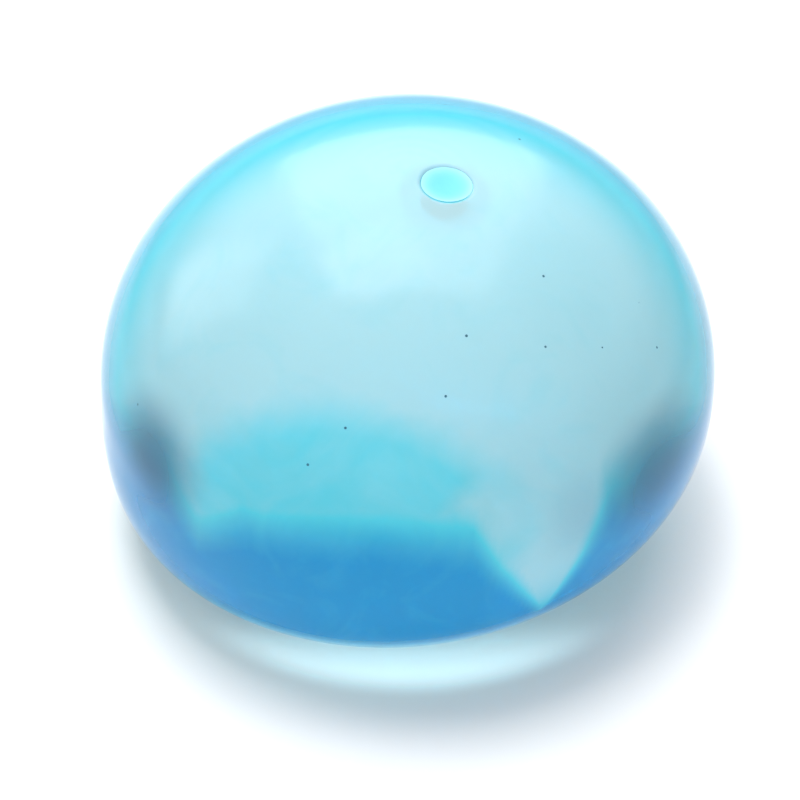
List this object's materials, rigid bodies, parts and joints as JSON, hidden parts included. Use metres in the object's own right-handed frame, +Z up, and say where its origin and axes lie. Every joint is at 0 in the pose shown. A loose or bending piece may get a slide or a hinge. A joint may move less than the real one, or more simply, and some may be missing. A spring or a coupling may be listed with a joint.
{
  "type": "stress ball",
  "caption": "Translucent blue squeeze ball: a soft moulded skin filled with thick clear syrup, closed by a barbed plug and a glue seal, resting on its own flattened foot.",
  "frame": {"origin": "centre of the flat foot, on the table", "axes": "+Z up through the top of the ball, +X the side that the fill port leans to"},
  "size_m": [0.066, 0.066, 0.045],
  "materials": {
    "skin": "gloss",
    "syrup": "gloss",
    "stopper": "satin",
    "glue": "satin"
  },
  "bodies": {
    "ball": {"shell": "skin", "filling": "syrup"},
    "crown": {"plug": "stopper", "seal": "glue"}
  },
  "joints": [
    {"name": "squeeze", "type": "slide", "parent": "ball", "child": "crown", "axis": [0, 0, 1], "range_m": [-0.016, 0], "stiffness_N_per_m": 900, "deforming": ["shell", "filling"]}
  ]
}
